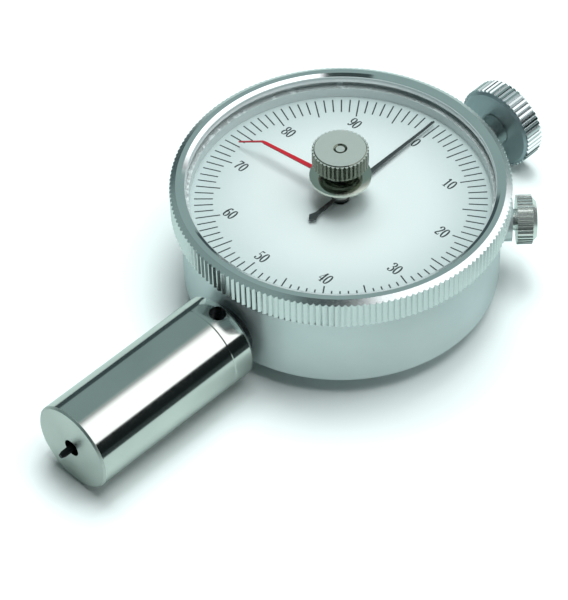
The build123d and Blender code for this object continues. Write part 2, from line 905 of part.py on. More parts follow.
def make_stems():
    """Lower and upper stems with the bushes that guide the spindle, and the top knob."""
    bush_bore = spindle_radius + running_gap
    bush_radius = spindle_radius + bush_wall
    bush_end_y = stem_end_y + lower_bush_length
    shoulder_y = case_inner - stem_reach
    lower = turned_along_stem(
        (
            (bush_bore + bush_relief, -shoulder_y),
            (case_thread_radius, -shoulder_y),
            (case_thread_radius, neck_seat_y),
            (neck_radius, neck_seat_y),
            (neck_radius, collar_top_y),
            (stem_radius, collar_top_y),
            (stem_radius, stem_end_y),
            (bush_radius, stem_end_y),
            (bush_radius, bush_end_y),
            (bush_bore + bush_relief, bush_end_y),
        )
    )
    save(lower, "lower_stem")

    lower_bush = turned_along_stem(
        (
            (bush_bore, stem_end_y),
            (bush_radius, stem_end_y),
            (bush_radius, bush_end_y),
            (bush_bore, bush_end_y),
        )
    )
    save(lower_bush, "lower_guide_bush")

    adjuster = turned_along_stem(
        (
            (bush_bore + bush_relief, adjuster_y),
            (stem_radius, adjuster_y),
            (stem_radius, stem_end_y - seat_gap),
            (bush_bore + bush_relief, stem_end_y - seat_gap),
        )
    )
    save(adjuster, "spring_adjuster")

    tail_bore = tail_radius + running_gap
    upper_bush_radius = tail_radius + tail_bush_wall
    upper_end_y = shoulder_y + upper_bush_length
    thread_end_y = top_neck_y + top_thread_length
    upper = turned_along_stem(
        (
            (upper_bush_radius, shoulder_y),
            (top_neck_radius, shoulder_y),
            (top_neck_radius, top_neck_y - 2 * seat_gap),
            (top_thread_radius, top_neck_y - 2 * seat_gap),
            (top_thread_radius, thread_end_y),
            (0, thread_end_y),
            (0, upper_end_y + upper_bore_end),
            (tail_bore, upper_end_y + upper_bore_end),
            (tail_bore, upper_end_y),
            (upper_bush_radius, upper_end_y),
        )
    )
    save(upper, "upper_stem")

    upper_bush = turned_along_stem(
        (
            (tail_bore, shoulder_y),
            (upper_bush_radius, shoulder_y),
            (upper_bush_radius, upper_end_y),
            (tail_bore, upper_end_y),
        )
    )
    save(upper_bush, "upper_guide_bush")

    r = top_knob_radius
    root = r - top_knob_flute_depth
    c = top_knob_chamfer
    end_y = top_neck_y + top_knob_length
    with BuildPart() as knob:
        with BuildSketch(Plane.XZ.offset(-(top_neck_y + c))):
            with Locations((0, stem_z)):
                with BuildLine(mode=Mode.PRIVATE) as teeth:
                    Polyline(
                        *knurl_points(
                            r, top_knob_flute_depth, top_knob_flutes, top_knob_flute_share
                        ),
                        close=True,
                    )
                add(make_face(teeth.edges(), mode=Mode.PRIVATE))
        extrude(amount=-(top_knob_length - 2 * c))
        with BuildSketch(stem_plane):
            with BuildLine():
                Polyline(
                    (0, thread_end_y + thread_gap),
                    (top_thread_radius + thread_gap, thread_end_y + thread_gap),
                    (top_thread_radius + thread_gap, top_neck_y),
                    (root - c, top_neck_y),
                    (root, top_neck_y + c),
                    (root, end_y - c),
                    (root - c, end_y),
                    (0, end_y),
                    close=True,
                )
            make_face()
        revolve(axis=stem_axis)
        with BuildSketch(Plane.XZ.offset(-top_neck_y)):
            with Locations((0, stem_z)):
                Circle(top_thread_radius + thread_gap)
        extrude(amount=-(top_thread_length + thread_gap), mode=Mode.SUBTRACT)
    save(knob, "top_knob")


def make_spindle():
    """Spindle with spring flange and rack, indenter pin, guide pin and spring."""
    pin_end_y = flange_top_y + pin_seat
    with BuildPart() as spindle:
        with BuildSketch(stem_plane):
            with BuildLine():
                Polyline(
                    (0, pin_end_y + end_play),
                    (pin_radius + press_gap, pin_end_y + end_play),
                    (pin_radius + press_gap, flange_y),
                    (flange_radius, flange_y),
                    (flange_radius, flange_top_y),
                    (spindle_radius, flange_top_y),
                    (spindle_radius, rack_bar_start),
                    (0, rack_bar_start),
                    close=True,
                )
            make_face()
        revolve(axis=stem_axis)
        with BuildSketch(Plane.XY.offset(stem_z - spindle_half)):
            with BuildLine():
                Polyline(*rack_points(), close=True)
            make_face()
        extrude(amount=rack_bar_height)
        with BuildSketch(Plane.XZ.offset(-rack_bar_end)):
            with Locations((0, stem_z)):
                Circle(tail_radius)
        extrude(amount=-(tail_end_y - rack_bar_end))
        with Locations((0, guide_pin_y, stem_z - spindle_half)):
            Cylinder(
                guide_pin_radius + press_gap,
                spindle_half,
                align=(Align.CENTER, Align.CENTER, Align.MIN),
                mode=Mode.SUBTRACT,
            )
    save(spindle, "spindle")

    taper = (pin_radius - pin_tip_radius) / tan(radians(pin_half_angle))
    pin = turned_along_stem(
        (
            (0, pin_tip_y),
            (pin_tip_radius, pin_tip_y),
            (pin_radius, pin_tip_y + taper),
            (pin_radius, pin_end_y),
            (0, pin_end_y),
        )
    )
    save(pin, "indenter_pin")

    guide_foot_z = bridge_z + 2 * end_play
    with BuildPart() as guide:
        with Locations((0, guide_pin_y, guide_foot_z)):
            Cylinder(
                guide_pin_radius,
                stem_z - guide_foot_z - end_play,
                align=(Align.CENTER, Align.CENTER, Align.MIN),
            )
    save(guide, "guide_pin")

    coil_radius = spindle_radius + spring_clearance + spring_wire_radius
    start_y = flange_top_y + spring_wire_radius + seat_gap
    end_y = adjuster_y - spring_wire_radius - seat_gap
    with BuildPart() as spring:
        with BuildLine():
            coil = Helix(
                (end_y - start_y) / spring_turns,
                end_y - start_y,
                coil_radius,
                center=(0, start_y, stem_z),
                direction=(0, 1, 0),
            )
        with BuildSketch(Plane(origin=coil @ 0, z_dir=coil % 0)):
            RegularPolygon(spring_wire_radius, spring_wire_sides)
        sweep()
    save(spring, "calibrated_spring")


def rack_points():
    """Plan outline of the rack bar, with teeth on its -X side from end to end of the mesh."""
    tip_x = -spindle_radius
    root_x = rack_line_x + dedendum * rack_module
    root_half = tooth_root_share * rack_pitch / 2
    tip_half = tooth_tip_share * rack_pitch / 2
    before = int(rack_teeth_per_travel) + 2
    after = 2
    first_y = drive_y - (before + 0.5) * rack_pitch
    last_y = drive_y + (after + 0.5) * rack_pitch
    points = [(spindle_radius, rack_bar_end), (spindle_radius, rack_bar_start)]
    points.append((tip_x, rack_bar_start))
    points.append((tip_x, first_y - rack_run_out))
    points.append((root_x, first_y))
    for i in range(-before, after + 1):
        middle = drive_y + i * rack_pitch
        points.append((root_x, middle - root_half))
        points.append((tip_x, middle - tip_half))
        points.append((tip_x, middle + tip_half))
        points.append((root_x, middle + root_half))
    points.append((root_x, last_y))
    points.append((tip_x, last_y + rack_run_out))
    points.append((tip_x, rack_bar_end))
    return points


def make_wheel(site, tooth_angle, name):
    """Crossed-out brass wheel on an arbor."""
    inner = wheel_radius - dedendum * wheel_module - wheel_rim
    with BuildPart() as wheel:
        with BuildSketch(Plane.XY.offset(wheel_z)):
            with Locations(site):
                with BuildLine(mode=Mode.PRIVATE) as teeth:
                    Polyline(*gear_points(wheel_teeth, wheel_module, tooth_angle), close=True)
                add(make_face(teeth.edges(), mode=Mode.PRIVATE))
                Circle(inner, mode=Mode.SUBTRACT)
                Circle(wheel_hub_radius)
            with Locations(site):
                for i in range(wheel_spokes // 2):
                    Rectangle(2 * inner + wheel_rim, wheel_spoke, rotation=i * 360 / wheel_spokes)
                Circle(arbor_radius, mode=Mode.SUBTRACT)
        extrude(amount=wheel_thickness)
    save(wheel, name)


def make_arbors():
    """Rack pinion arbor, centre arbor and take-up arbor, with their two wheels."""
    top_z = wall_z + wall_thickness / 2
    foot_z = bridge_z + bridge_thickness / 3
    pinion_z = stem_z - spindle_half + end_play
    pinion_height = rack_bar_height - 2 * end_play
    for site, name in ((drive_site, "rack_pinion_arbor"), (take_up_site, "take_up_arbor")):
        with BuildPart() as arbor:
            with BuildSketch(upright(site)):
                with BuildLine():
                    Polyline(
                        (0, foot_z),
                        (pivot_radius, foot_z),
                        (pivot_radius, bridge_top_z + end_play),
                        (arbor_radius, bridge_top_z + end_play),
                        (arbor_radius, wall_z - end_play),
                        (pivot_radius, wall_z - end_play),
                        (pivot_radius, top_z),
                        (0, top_z),
                        close=True,
                    )
                make_face()
            revolve(axis=Axis((*site, 0), (0, 0, 1)))
            if name == "rack_pinion_arbor":
                with BuildSketch(Plane.XY.offset(pinion_z)):
                    with Locations(site):
                        with BuildLine(mode=Mode.PRIVATE) as teeth:
                            Polyline(
                                *gear_points(
                                    rack_pinion_teeth, rack_module, pi / rack_pinion_teeth
                                ),
                                close=True,
                            )
                        add(make_face(teeth.edges(), mode=Mode.PRIVATE))
                extrude(amount=pinion_height)
        save(arbor, name)

    make_wheel(drive_site, mesh_angle + pi / wheel_teeth, "drive_wheel")
    make_wheel(take_up_site, mesh_angle + pi + pi / wheel_teeth, "take_up_wheel")

    hand_top = dial_z + hand_height + hand_thickness + boss_height
    with BuildPart() as centre:
        with BuildSketch(Plane.XZ):
            with BuildLine():
                Polyline(
                    (0, cock_z + end_play),
                    (pivot_radius, cock_z + end_play),
                    (pivot_radius, cock_top_z + end_play),
                    (arbor_radius, cock_top_z + end_play),
                    (arbor_radius, hand_top),
                    (0, hand_top),
                    close=True,
                )
            make_face()
        revolve(axis=Axis.Z)
        with BuildSketch(Plane.XY.offset(wheel_z - running_gap)):
            with BuildLine():
                Polyline(*gear_points(pinion_teeth, wheel_module, mesh_angle), close=True)
            make_face()
        extrude(amount=wheel_thickness + 2 * running_gap)
    save(centre, "centre_arbor")

    collet_z = cock_z + end_play
    collet = turned_upright(
        take_up_site,
        (
            (arbor_radius, collet_z),
            (collet_radius, collet_z),
            (collet_radius, collet_z + hairspring_height),
            (arbor_radius, collet_z + hairspring_height),
        ),
    )
    save(collet, "hairspring_collet")

    turns = hairspring_turns
    start_radius = collet_radius + running_gap + hairspring_strip / 2
    steps = hairspring_steps * turns
    outward = []
    inward = []
    for i in range(steps + 1):
        angle = 2 * pi * turns * i / steps
        radius = start_radius + hairspring_pitch * turns * i / steps
        outward.append(polar(radius + hairspring_strip / 2, angle))
        inward.append(polar(radius - hairspring_strip / 2, angle))
    with BuildPart() as hairspring:
        with BuildSketch(Plane.XY.offset(collet_z)):
            with Locations(take_up_site):
                with BuildLine(mode=Mode.PRIVATE) as strip:
                    Polyline(*outward, *reversed(inward), close=True)
                add(make_face(strip.edges(), mode=Mode.PRIVATE))
        extrude(amount=hairspring_height)
    save(hairspring, "hairspring")

    end_radius = start_radius + hairspring_pitch * turns + hairspring_strip / 2
    stud_x = take_up_site[0] + end_radius + stud_radius + stud_gap
    with BuildPart() as stud:
        with Locations((stud_x, take_up_site[1], bridge_top_z)):
            Cylinder(
                stud_radius,
                collet_z + hairspring_height - bridge_top_z,
                align=(Align.CENTER, Align.CENTER, Align.MIN),
            )
    save(stud, "hairspring_stud")


def make_plates():
    """Rear plate and centre bridge with their pillars, screws and pivot bushes."""
    slot_length = travel + 2 * (guide_pin_radius + running_gap + end_play)
    slot_y = guide_pin_y + travel / 2
    with BuildPart() as plate:
        with BuildSketch(Plane.XY.offset(bridge_z)):
            with Locations(*pillar_sites):
                Circle(bridge_edge)
            make_hull()
            with Locations(drive_site, take_up_site):
                Circle(jewel_radius + thread_gap, mode=Mode.SUBTRACT)
            with Locations(*pillar_sites):
                Circle(small_screw_radius + screw_clearance, mode=Mode.SUBTRACT)
            with Locations((0, slot_y)):
                SlotOverall(
                    slot_length,
                    2 * (guide_pin_radius + running_gap),
                    rotation=90,
                    mode=Mode.SUBTRACT,
                )
        extrude(amount=bridge_thickness)
    save(plate, "movement_plate")

    with BuildPart() as pillars:
        with BuildSketch(Plane.XY.offset(bridge_top_z)):
            with Locations(*pillar_sites):
                Circle(pillar_radius)
        extrude(amount=wall_z - bridge_top_z)
        with BuildSketch(Plane.XY.offset(bridge_top_z)):
            with Locations(*pillar_sites):
                Circle(small_screw_radius + thread_gap)
        extrude(amount=small_screw_bite + 2 * end_play, mode=Mode.SUBTRACT)
    save(pillars, "plate_pillars")

    with BuildPart() as screws:
        with BuildSketch(Plane.XY.offset(bridge_z - small_head_height)):
            with Locations(*pillar_sites):
                Circle(small_head_radius)
        extrude(amount=small_head_height)
        with BuildSketch(Plane.XY.offset(bridge_z)):
            with Locations(*pillar_sites):
                Circle(small_screw_radius)
        extrude(amount=bridge_thickness + small_screw_bite)
    save(screws, "plate_screws")

    cock_sites = ((-cock_pillar_x, 0), (cock_pillar_x, 0))
    cock_bite = wall_z - cock_top_z - 3 * end_play
    with BuildPart() as cock:
        with BuildSketch(Plane.XY.offset(cock_z)):
            SlotOverall(2 * cock_half_length, 2 * cock_half_width)
            Circle(jewel_radius + thread_gap, mode=Mode.SUBTRACT)
            with Locations(*cock_sites):
                Circle(small_screw_radius + screw_clearance, mode=Mode.SUBTRACT)
        extrude(amount=cock_thickness)
    save(cock, "centre_bridge")

    with BuildPart() as cock_pillars:
        with BuildSketch(Plane.XY.offset(cock_top_z)):
            with Locations(*cock_sites):
                Circle(cock_pillar_radius)
                Circle(small_screw_radius + thread_gap, mode=Mode.SUBTRACT)
        extrude(amount=wall_z - cock_top_z)
    save(cock_pillars, "bridge_pillars")

    with BuildPart() as cock_screws:
        with BuildSketch(Plane.XY.offset(cock_z - small_head_height)):
            with Locations(*cock_sites):
                Circle(small_head_radius)
        extrude(amount=small_head_height)
        with BuildSketch(Plane.XY.offset(cock_z)):
            with Locations(*cock_sites):
                Circle(small_screw_radius)
        extrude(amount=cock_thickness + cock_bite)
    save(cock_screws, "bridge_screws")

    sites = (
        ((*drive_site, bridge_z), bridge_thickness),
        ((*take_up_site, bridge_z), bridge_thickness),
        ((*drive_site, wall_z), wall_thickness),
        ((*take_up_site, wall_z), wall_thickness),
        ((0, 0, cock_z), cock_thickness),
    )
    with BuildPart() as bushes:
        for place, height in sites:
            with Locations(place):
                Cylinder(jewel_radius, height, align=(Align.CENTER, Align.CENTER, Align.MIN))
                Cylinder(
                    pivot_radius + running_gap,
                    height,
                    align=(Align.CENTER, Align.CENTER, Align.MIN),
                    mode=Mode.SUBTRACT,
                )
    save(bushes, "pivot_bushes")

    flange_radius = centre_bush_radius + centre_bush_flange
    flange_z = wall_top_z + centre_bush_flange_height
    centre_bush = turned_upright(
        (0, 0),
        (
            (arbor_radius + running_gap, wall_z - layer_gap),
            (centre_bush_radius, wall_z - layer_gap),
            (centre_bush_radius, wall_top_z),
            (flange_radius, wall_top_z),
            (flange_radius, flange_z),
            (arbor_radius + running_gap, flange_z),
        ),
    )
    save(centre_bush, "centre_bush")


def make_clamp():
    """Clamp block hooked under the bezel and the knurled screw that draws it in."""
    block_end = case_radius + clamp_block_depth
    tab_height = rim_z - clamp_z
    with BuildPart() as block:
        with BuildSketch(clamp_face.offset(case_radius - clamp_root_depth)):
            Circle(clamp_block_radius)
            with Locations((0, tab_height / 2)):
                Rectangle(clamp_tab_width, tab_height)
            Circle(clamp_screw_radius + screw_clearance, mode=Mode.SUBTRACT)
        extrude(amount=clamp_block_depth + clamp_root_depth)
        with BuildSketch(Plane.XY.offset(case_z)):
            Circle(case_radius + thread_gap)
        extrude(amount=bezel_z, mode=Mode.SUBTRACT)
    save(block, "clamp_block")

    neck_start = block_end + seat_gap
    head_start = neck_start + clamp_neck_length
    head_end = head_start + clamp_head_length
    tip = case_radius - clamp_screw_bite
    with BuildPart() as screw:
        with BuildSketch(clamp_face.offset(head_start)):
            with BuildLine():
                Polyline(
                    *knurl_points(
                        clamp_head_radius, clamp_flute_depth, clamp_flutes, clamp_flute_share
                    ),
                    close=True,
                )
            make_face()
        extrude(amount=clamp_head_length)
        root = clamp_head_radius - clamp_flute_depth
        with BuildSketch(clamp_plane):
            with BuildLine():
                Polyline(
                    (0, tip),
                    (clamp_screw_radius, tip),
                    (clamp_screw_radius, neck_start),
                    (clamp_neck_radius, neck_start),
                    (clamp_neck_radius, head_start + clamp_head_relief),
                    (root, head_start + clamp_head_relief),
                    (root, head_end),
                    (clamp_dome_radius, head_end + clamp_dome),
                    (0, head_end + clamp_dome),
                    close=True,
                )
            make_face()
        revolve(axis=clamp_axis)
    save(screw, "clamp_screw")


make_case()
make_rear_cover()
make_bezel()
make_dial()
make_reset()
make_main_hand()
make_foot()
make_stems()
make_spindle()
make_arbors()
make_plates()
make_clamp()
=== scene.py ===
import math

import bpy
from mathutils import Matrix, Vector


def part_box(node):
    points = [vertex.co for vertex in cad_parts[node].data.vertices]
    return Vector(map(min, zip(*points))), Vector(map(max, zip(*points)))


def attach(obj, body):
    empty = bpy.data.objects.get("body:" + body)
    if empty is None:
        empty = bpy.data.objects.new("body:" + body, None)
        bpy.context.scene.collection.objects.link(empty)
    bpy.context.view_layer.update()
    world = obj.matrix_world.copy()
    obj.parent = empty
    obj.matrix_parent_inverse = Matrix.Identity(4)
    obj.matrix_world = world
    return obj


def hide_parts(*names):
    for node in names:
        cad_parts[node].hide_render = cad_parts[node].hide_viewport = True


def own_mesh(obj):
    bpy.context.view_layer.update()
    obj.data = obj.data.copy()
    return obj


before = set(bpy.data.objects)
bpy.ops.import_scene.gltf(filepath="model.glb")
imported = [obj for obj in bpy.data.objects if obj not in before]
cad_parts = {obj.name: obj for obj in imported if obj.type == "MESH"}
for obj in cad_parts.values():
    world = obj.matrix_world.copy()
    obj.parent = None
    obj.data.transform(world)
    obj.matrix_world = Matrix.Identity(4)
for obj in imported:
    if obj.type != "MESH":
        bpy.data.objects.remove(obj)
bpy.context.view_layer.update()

# Metres and radians throughout. Heights and places that a CAD node's box gives are taken from it.
MM = 0.001
DEGREE = math.pi / 180
DIAL_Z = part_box("dial_plate")[1][2]
BEZEL_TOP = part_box("bezel_ring")[1][2]
FOOT_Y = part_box("presser_foot")[0][1]
STEM_Z = (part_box("presser_foot")[0][2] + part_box("presser_foot")[1][2]) / 2
DIAL_CENTRE = (0.0, 0.0, 0.0)
STEM_CENTRE = (0.0, 0.0, STEM_Z)

# Camera, fitted to the photograph: place relative to the dial centre, axes of its view, and
# lens and sensor in millimetres
CAMERA_PLACE = Vector((230.34, -239.56, 324.91)) * MM
CAMERA_RIGHT = Vector((0.71506, 0.69871, -0.02216))
CAMERA_UP = Vector((-0.49618, 0.52962, 0.68797))
CAMERA_BACK = Vector((0.49243, -0.48095, 0.72540))
CAMERA_LENS = 160.07
CAMERA_SENSOR = 36.0
CAMERA_NEAR = 0.01
CAMERA_FAR = 20.0

# Zones with a finish of their own: the foot's faced end, the wall inside the bezel's lip, and
# the bezel's crown inside its coin edge. Painted shade darkens the foot's hole, the top of the
# lip wall and the coin edge. The radii of hole and wall lie just behind those surfaces.
BORE_RADIUS = 1.6 * MM
BORE_PAINTED_SHADE = (0.04, 0.045, 0.045)
FACED_DEPTH = 0.4 * MM
LIP_RADIUS = 27.02 * MM
LIP_SOFTNESS = 0.04 * MM
LIP_PAINTED_SHADE = (0.56, 0.62, 0.62)
LIP_PAINTED_SHADE_DEPTH = 1.3 * MM
CROWN_RADIUS = 28.62 * MM
CROWN_SOFTNESS = 0.1 * MM
COIN_EDGE_PAINTED_SHADE = (0.82, 0.84, 0.84)

# Faces with a finish of their own, by the share of their normal along an axis. Painted shade
# darkens the reset knob's side and the top knob's flat faces.
RESET_KNOB_TOP = 0.95
TOP_KNOB_FACES = 0.6
CRYSTAL_DOME = 0.5

# Fineness of textures per metre, the range that a noise mostly keeps to, and depths of bumps
CLOUD = 90.0
BARREL_CLOUD = 110.0
CRYSTAL_HAZE = 300.0
LACQUER_SPECKLE = 4000.0
PAINT_SPECKLE = 6000.0
NOISE_LOW = 0.3
NOISE_HIGH = 0.7
METAL_DEPTH = 0.02 * MM
FINE_DEPTH = 0.01 * MM

# Paint of the dial and the ring round it, with painted shade that darkens it from one radius
# to another
DIAL_PAINTED_SHADE_FROM = 13.0 * MM
DIAL_PAINTED_SHADE_TO = 28.0 * MM
RING_PAINTED_SHADE_FROM = 26.5 * MM
RING_PAINTED_SHADE_TO = 40.0 * MM
DIAL_PAINTED_SHADE = (0.69, 0.735, 0.735)

# Crystal
CRYSTAL_CLEAR = (0.985, 1.0, 0.995)
CRYSTAL_IOR = 1.49

# Dial print. The pen's widths are shares of a figure's height, thick down the page
TICKS = 100
TICK_LONG_EVERY = 5
TICK_OUTER = 25.56 * MM
TICK_INNER = 22.26 * MM
TICK_LONG_INNER = 21.24 * MM
TICK_WIDTH = 0.25 * MM
PRINT_HEIGHT = 0.012 * MM
PRINT_SUNK = PRINT_HEIGHT / 2
NUMERAL_CIRCLE = 19.4 * MM
NUMERAL_HEIGHT = 2.3 * MM
NUMERAL_ADVANCE = 1.1 * MM
NUMERAL_STEP = 10
PEN_THICK = 0.135
PEN_THIN = 0.055
PEN_CONTRAST = 1.4
STROKE_STEPS = 7
OVAL_STEPS = 28

# Studio that metal and glass mirror: bands by their angle round the stem's direction, from 0
# over +X to 180 over -X. Each edge fades over its softness. The soft box also ends toward the
# foot, where the Y part of the direction is SOFT_BOX_FRONT.
SKY_LEFT = (0.24, 0.34, 0.33)
WALL_LEFT = (0.05, 0.075, 0.08)
WALL_LEFT_EDGE = 162.0 * DEGREE
WALL_LEFT_SOFTNESS = 0.05
SKY_RIGHT = (0.04, 0.06, 0.058)
SKY_RIGHT_EDGE = 91.0 * DEGREE
SKY_RIGHT_SOFTNESS = 0.02
SOFT_BOX = (1.5, 1.55, 1.55)
SOFT_BOX_EDGE = 86.0 * DEGREE
SOFT_BOX_SOFTNESS = 0.4
SOFT_BOX_FRONT = -0.07
SOFT_BOX_FRONT_SOFTNESS = 0.06
WALL_RIGHT = (0.009, 0.014, 0.014)
WALL_RIGHT_EDGE = 28.0 * DEGREE
WALL_RIGHT_SOFTNESS = 0.04
DIFFUSE_FILL = (0.01, 0.02, 0.019)
BACKDROP = (1.0, 1.0, 1.0)

# Lamps: name, place, side and radiance. All are turned to the origin.
LAMPS = (
    ("key_back", (-0.16, 0.14, 0.75), 0.40, 8.3),
    ("key_right", (0.15, 0.06, 0.75), 0.40, 6.4),
    ("front", (0.1, -0.95, 0.12), 0.5, 1.8),
)
LAMP_COLOUR = (0.945, 1.0, 1.0)

# Table. In reflections it is grey, and dark beyond the object's right side.
FLOOR_HALF = 3.0
FLOOR_SEEN = (0.94, 1.0, 0.995)
FLOOR_MIRRORED = (0.54, 0.65, 0.62)
FLOOR_FAR = (0.03, 0.04, 0.04)
FLOOR_NEAR_END = 48.0 * MM
FLOOR_FAR_START = 60.0 * MM


def link(piece):
    """Put an object into the scene."""
    bpy.context.scene.collection.objects.link(piece)
    return piece


def mesh_object(name, points, faces, material):
    """A mesh piece from points and faces, with its material."""
    mesh = bpy.data.meshes.new(name)
    mesh.from_pydata(points, [], faces)
    mesh.validate()
    mesh.update()
    mesh.materials.append(material)
    return link(bpy.data.objects.new(name, mesh))


def turned_to(place, right, up, back):
    """A matrix that puts an object at place, with its X, Y and Z along right, up and back."""
    return Matrix.Translation(place) @ Matrix((right, up, back)).transposed().to_4x4()


class Shading:
    """The shader nodes of a material or of the world."""

    def __init__(self, owner):
        owner.use_nodes = True
        self.tree = owner.node_tree

    def feed(self, target, value):
        """Give an input another node's output, or a value of its own."""
        if isinstance(value, bpy.types.NodeSocket):
            self.tree.links.new(value, target)
        elif target.type == "RGBA":
            target.default_value = (*value, 1.0)
        else:
            target.default_value = value

    def add(self, kind, inputs=None, **settings):
        """A new node with its settings, and its inputs fed by name or number."""
        node = self.tree.nodes.new(kind)
        for key, value in settings.items():
            setattr(node, key, value)
        for key, value in (inputs or {}).items():
            self.feed(node.inputs[key], value)
        return node

    def math(self, operation, *values):
        return self.add("ShaderNodeMath", dict(enumerate(values)), operation=operation).outputs[0]

    def coordinates(self, kind):
        return self.add("ShaderNodeTexCoord").outputs[kind]

    def split(self, vector):
        """The X, Y and Z of a vector, by their names."""
        return self.add("ShaderNodeSeparateXYZ", {"Vector": vector}).outputs

    def between(self, value, low, high):
        """0 at low, 1 at high and smooth between, and the reverse if high is the lower one."""
        inputs = {"Value": value, "From Min": low, "From Max": high}
        return self.add("ShaderNodeMapRange", inputs, interpolation_type="SMOOTHSTEP").outputs["Result"]

    def above(self, value, edge, softness):
        """0 below an edge and 1 above it."""
        return self.between(value, edge - softness / 2, edge + softness / 2)

    def below(self, value, edge, softness):
        """1 below an edge and 0 above it."""
        return self.between(value, edge + softness / 2, edge - softness / 2)

    def blend(self, factor, first, second):
        """A colour between two."""
        inputs = {"Factor": factor, "A": first, "B": second}
        return self.add("ShaderNodeMix", inputs, data_type="RGBA").outputs["Result"]

    def shaded(self, colour, factor, shade):
        """A colour, multiplied by a shade where the factor is 1."""
        inputs = {"Factor": factor, "A": colour, "B": shade}
        mix = self.add("ShaderNodeMix", inputs, data_type="RGBA", blend_type="MULTIPLY")
        return mix.outputs["Result"]

    def mixed(self, factor, first, second):
        """A number between two."""
        inputs = {"Factor": factor, "A": first, "B": second}
        return self.add("ShaderNodeMix", inputs, data_type="FLOAT").outputs["Result"]


class Finish(Shading):
    """A material with its Principled shader."""

    def __init__(self, name):
        self.material = bpy.data.materials.new(name)
        super().__init__(self.material)
        self.shader = self.tree.nodes["Principled BSDF"]

    def set(self, **values):
        """Feed the shader's inputs, named with an underscore for each space."""
        for key, value in values.items():
            self.feed(self.shader.inputs[key.replace("_", " ")], value)

    def place(self):
        """Object coordinates, which are the frame's metres."""
        return self.coordinates("Object")

    def radius(self, centre, axis):
        """Distance from the line that runs through centre along "X", "Y" or "Z"."""
        offset = self.add("ShaderNodeVectorMath", {0: self.place(), 1: centre}, operation="SUBTRACT")
        across = tuple(0.0 if name == axis else 1.0 for name in "XYZ")
        flat = self.add("ShaderNodeVectorMath", {0: offset.outputs[0], 1: across}, operation="MULTIPLY")
        return self.add("ShaderNodeVectorMath", {0: flat.outputs[0]}, operation="LENGTH").outputs["Value"]

    def noise(self, vector, scale, detail=3.0, roughness=0.5):
        inputs = {"Vector": vector, "Scale": scale, "Detail": detail, "Roughness": roughness}
        return self.add("ShaderNodeTexNoise", inputs).outputs["Fac"]

    def lines(self, fineness, detail=3.0, roughness=0.6):
        """Noise drawn out into lines, by its fineness along each axis."""
        mapping = self.add("ShaderNodeMapping", {"Vector": self.place(), "Scale": fineness})
        return self.noise(mapping.outputs["Vector"], 1.0, detail, roughness)

    def span(self, noise, low, high):
        """A noise spread from low to high."""
        inputs = {
            "Value": noise,
            "From Min": NOISE_LOW,
            "From Max": NOISE_HIGH,
            "To Min": low,
            "To Max": high,
        }
        return self.add("ShaderNodeMapRange", inputs).outputs["Result"]

    def mottled(self, noise, dark, light):
        """A colour that follows a noise."""
        return self.blend(self.span(noise, 0.0, 1.0), dark, light)

    def bump(self, height, strength, distance):
        inputs = {"Height": height, "Strength": strength, "Distance": distance}
        self.set(Normal=self.add("ShaderNodeBump", inputs).outputs["Normal"])

    def layered(self, factor, first, second):
        """Take two shader nodes, mixed by a factor, in place of the Principled one."""
        self.tree.nodes.remove(self.shader)
        inputs = {"Fac": factor, 1: first.outputs[0], 2: second.outputs[0]}
        mix = self.add("ShaderNodeMixShader", inputs)
        self.feed(self.tree.nodes["Material Output"].inputs["Surface"], mix.outputs[0])


def darker(colour, share):
    """A colour with each part at a share of what it was."""
    return tuple(share * part for part in colour)


def turned_metal(name, dark, light, smooth, rough, fineness, strength, **values):
    """Metal with the fine lines of turning, between two colours and two roughnesses."""
    made = Finish(name)
    grain = made.lines(fineness)
    made.set(Base_Color=made.mottled(made.noise(made.place(), CLOUD), dark, light))
    made.set(Roughness=made.span(grain, smooth, rough), Metallic=1.0)
    made.set(**values)
    made.bump(grain, strength, METAL_DEPTH)
    return made.material


def steel(name, colour, smooth, rough):
    """Ground metal without a direction."""
    return turned_metal(
        name,
        dark=darker(colour, 0.8),
        light=colour,
        smooth=smooth,
        rough=rough,
        fineness=(3000.0, 3000.0, 3000.0),
        strength=0.1,
    )


def lacquer(name, colour, roughness, coat):
    """Painted sheet metal."""
    made = Finish(name)
    speckle = made.noise(made.place(), LACQUER_SPECKLE)
    made.set(Base_Color=made.mottled(speckle, darker(colour, 0.75), colour))
    made.set(Roughness=made.span(speckle, roughness, roughness + 0.08))
    made.set(Coat_Weight=coat, Coat_Roughness=0.1)
    made.bump(speckle, 0.1, FINE_DEPTH)
    return made.material


def matt_paint(name, shade_from, shade_to):
    """White paint, darkened by painted shade between two radii."""
    made = Finish(name)
    speckle = made.noise(made.place(), PAINT_SPECKLE)
    white = made.mottled(speckle, (0.715, 0.765, 0.77), (0.755, 0.80, 0.805))
    # Painted shade: darker outward from one radius to the other.
    outward = made.between(made.radius(DIAL_CENTRE, "Z"), shade_from, shade_to)
    made.set(Base_Color=made.shaded(white, outward, DIAL_PAINTED_SHADE))
    made.set(Roughness=made.span(speckle, 0.42, 0.52), Metallic=0.15)
    made.bump(speckle, 0.08, FINE_DEPTH)
    return made.material


